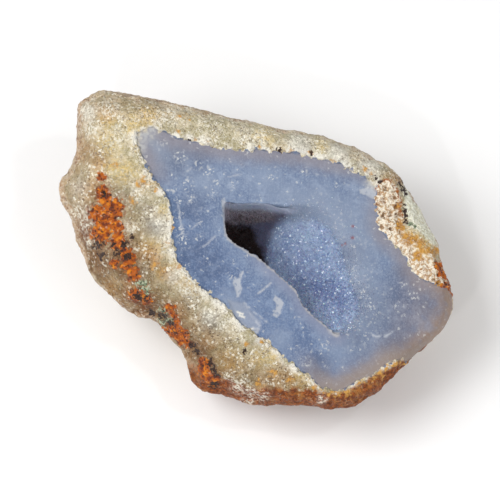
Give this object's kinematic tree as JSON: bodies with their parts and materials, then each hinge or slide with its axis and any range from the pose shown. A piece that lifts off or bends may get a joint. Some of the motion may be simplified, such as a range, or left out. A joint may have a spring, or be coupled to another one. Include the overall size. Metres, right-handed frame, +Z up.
{
  "type": "blue lace agate",
  "caption": "Broken agate nodule with a flat blue chalcedony face, a pale rough rind and an open hollow lined with fine quartz crystals.",
  "frame": {"origin": "on the ground under the middle of the stone, with the stone on its resting flat", "axes": "+X along the stone's longest side, to the right of the face; +Z up; the blue face leans towards -Y"},
  "size_m": [0.0834, 0.069, 0.042],
  "materials": {
    "chalcedony": "waxy blue face, sugary cream rind with rust stains",
    "druse_quartz": "glittering, small bright crystal faces"
  },
  "bodies": {
    "root": {"agate_stone": "chalcedony", "druse_crust": "druse_quartz"}
  },
  "joints": []
}
